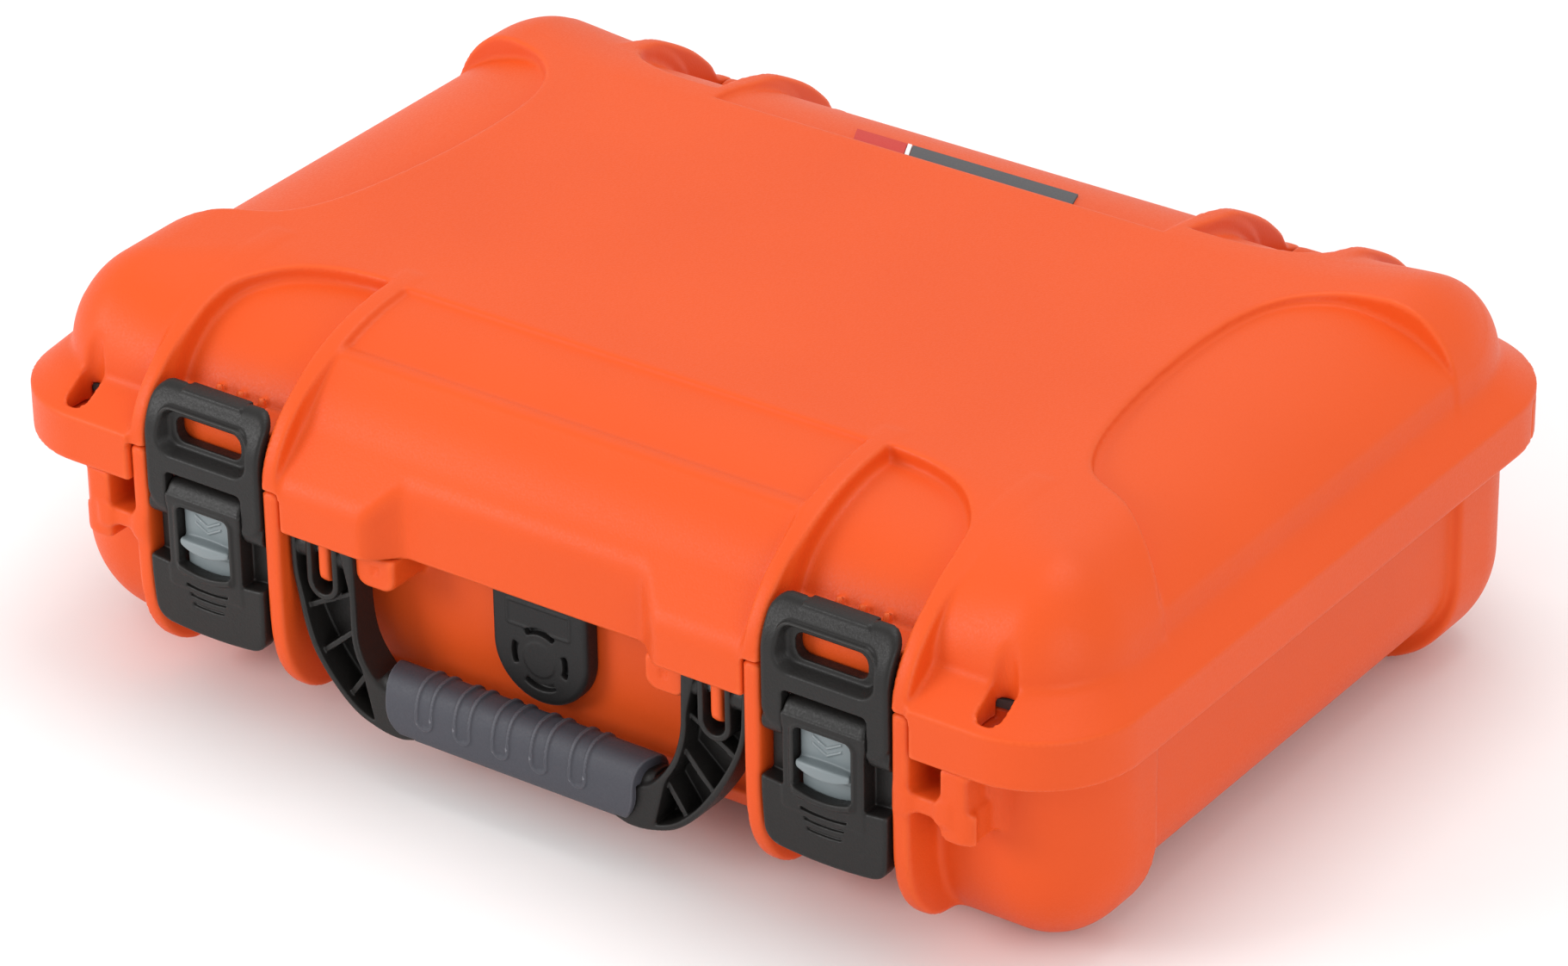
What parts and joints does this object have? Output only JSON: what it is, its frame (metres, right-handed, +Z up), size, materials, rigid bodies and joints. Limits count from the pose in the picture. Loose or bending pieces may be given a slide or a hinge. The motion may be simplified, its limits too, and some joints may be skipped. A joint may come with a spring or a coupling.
{
  "type": "hard equipment case",
  "caption": "Moulded hard carrying case with a domed hinged lid, draw latches, a folding carrying handle and a pressure relief valve.",
  "frame": {"origin": "on the plane that the feet stand on, under the middle of the closed case's box", "axes": "+X to the case's right as seen from the front, -Y out of the front with the latches and the handle, +Z up"},
  "size_m": [0.363, 0.276, 0.1182],
  "materials": {
    "shell_orange": "fine moulded grain, satin",
    "hardware_black": "fine moulded grain, satin",
    "valve_black": "fine moulded grain",
    "slider_grey": "smooth moulded",
    "grip_rubber": "soft matt overmould",
    "seal_rubber": "solid elastomer",
    "pin_steel": "drawn wire",
    "membrane_white": "breathable film",
    "plate_grey": "satin paint, blank"
  },
  "bodies": {
    "base": {"base_shell": "shell_orange", "hinge_pin_left": "pin_steel", "hinge_pin_right": "pin_steel", "handle_pin_left": "pin_steel", "handle_pin_right": "pin_steel", "latch_pivot_pin_left": "pin_steel", "latch_pivot_pin_right": "pin_steel", "valve_cap": "valve_black", "valve_nut": "valve_black", "valve_membrane": "membrane_white", "valve_seal": "seal_rubber"},
    "lid": {"lid_shell": "shell_orange", "gasket": "seal_rubber", "name_plate": "plate_grey"},
    "handle": {"handle_frame": "hardware_black", "handle_grip": "grip_rubber"},
    "lever_left": {"latch_lever_left": "hardware_black", "latch_link_pins_left": "pin_steel", "slider_spring_left": "pin_steel"},
    "claw_left": {"latch_claw_left": "hardware_black"},
    "slider_left": {"latch_slider_left": "slider_grey"},
    "lever_right": {"latch_lever_right": "hardware_black", "latch_link_pins_right": "pin_steel", "slider_spring_right": "pin_steel"},
    "claw_right": {"latch_claw_right": "hardware_black"},
    "slider_right": {"latch_slider_right": "slider_grey"}
  },
  "joints": [
    {"name": "lid_hinge", "type": "hinge", "parent": "base", "child": "lid", "pos_m": [0, 0.1305, 0.078], "axis": [-1, 0, 0], "range_deg": [0, 110]},
    {"name": "handle_swing", "type": "hinge", "parent": "base", "child": "handle", "pos_m": [0, -0.129, 0.0615], "axis": [-1, 0, 0], "range_deg": [0, 90]},
    {"name": "latch_lever_left_pull", "type": "hinge", "parent": "base", "child": "lever_left", "pos_m": [-0.1039, -0.129, 0.0665], "axis": [-1, 0, 0], "range_deg": [0, 95]},
    {"name": "latch_claw_left_link", "type": "hinge", "parent": "lever_left", "child": "claw_left", "pos_m": [-0.1039, -0.1335, 0.062], "axis": [-1, 0, 0], "range_deg": [-100, 0]},
    {"name": "latch_slider_left_press", "type": "slide", "parent": "lever_left", "child": "slider_left", "axis": [0, 0, -1], "range_m": [0, 0.004], "stiffness_N_per_m": 400, "springref_m": -0.002, "deforming": ["slider_spring_left"]},
    {"name": "latch_lever_right_pull", "type": "hinge", "parent": "base", "child": "lever_right", "pos_m": [0.1039, -0.129, 0.0665], "axis": [-1, 0, 0], "range_deg": [0, 95]},
    {"name": "latch_claw_right_link", "type": "hinge", "parent": "lever_right", "child": "claw_right", "pos_m": [0.1039, -0.1335, 0.062], "axis": [-1, 0, 0], "range_deg": [-100, 0]},
    {"name": "latch_slider_right_press", "type": "slide", "parent": "lever_right", "child": "slider_right", "axis": [0, 0, -1], "range_m": [0, 0.004], "stiffness_N_per_m": 400, "springref_m": -0.002, "deforming": ["slider_spring_right"]}
  ],
  "couplings": [
    {"joint": "latch_claw_left_link", "follows": "latch_lever_left_pull", "ratio": -1.05},
    {"joint": "latch_claw_right_link", "follows": "latch_lever_right_pull", "ratio": -1.05}
  ]
}
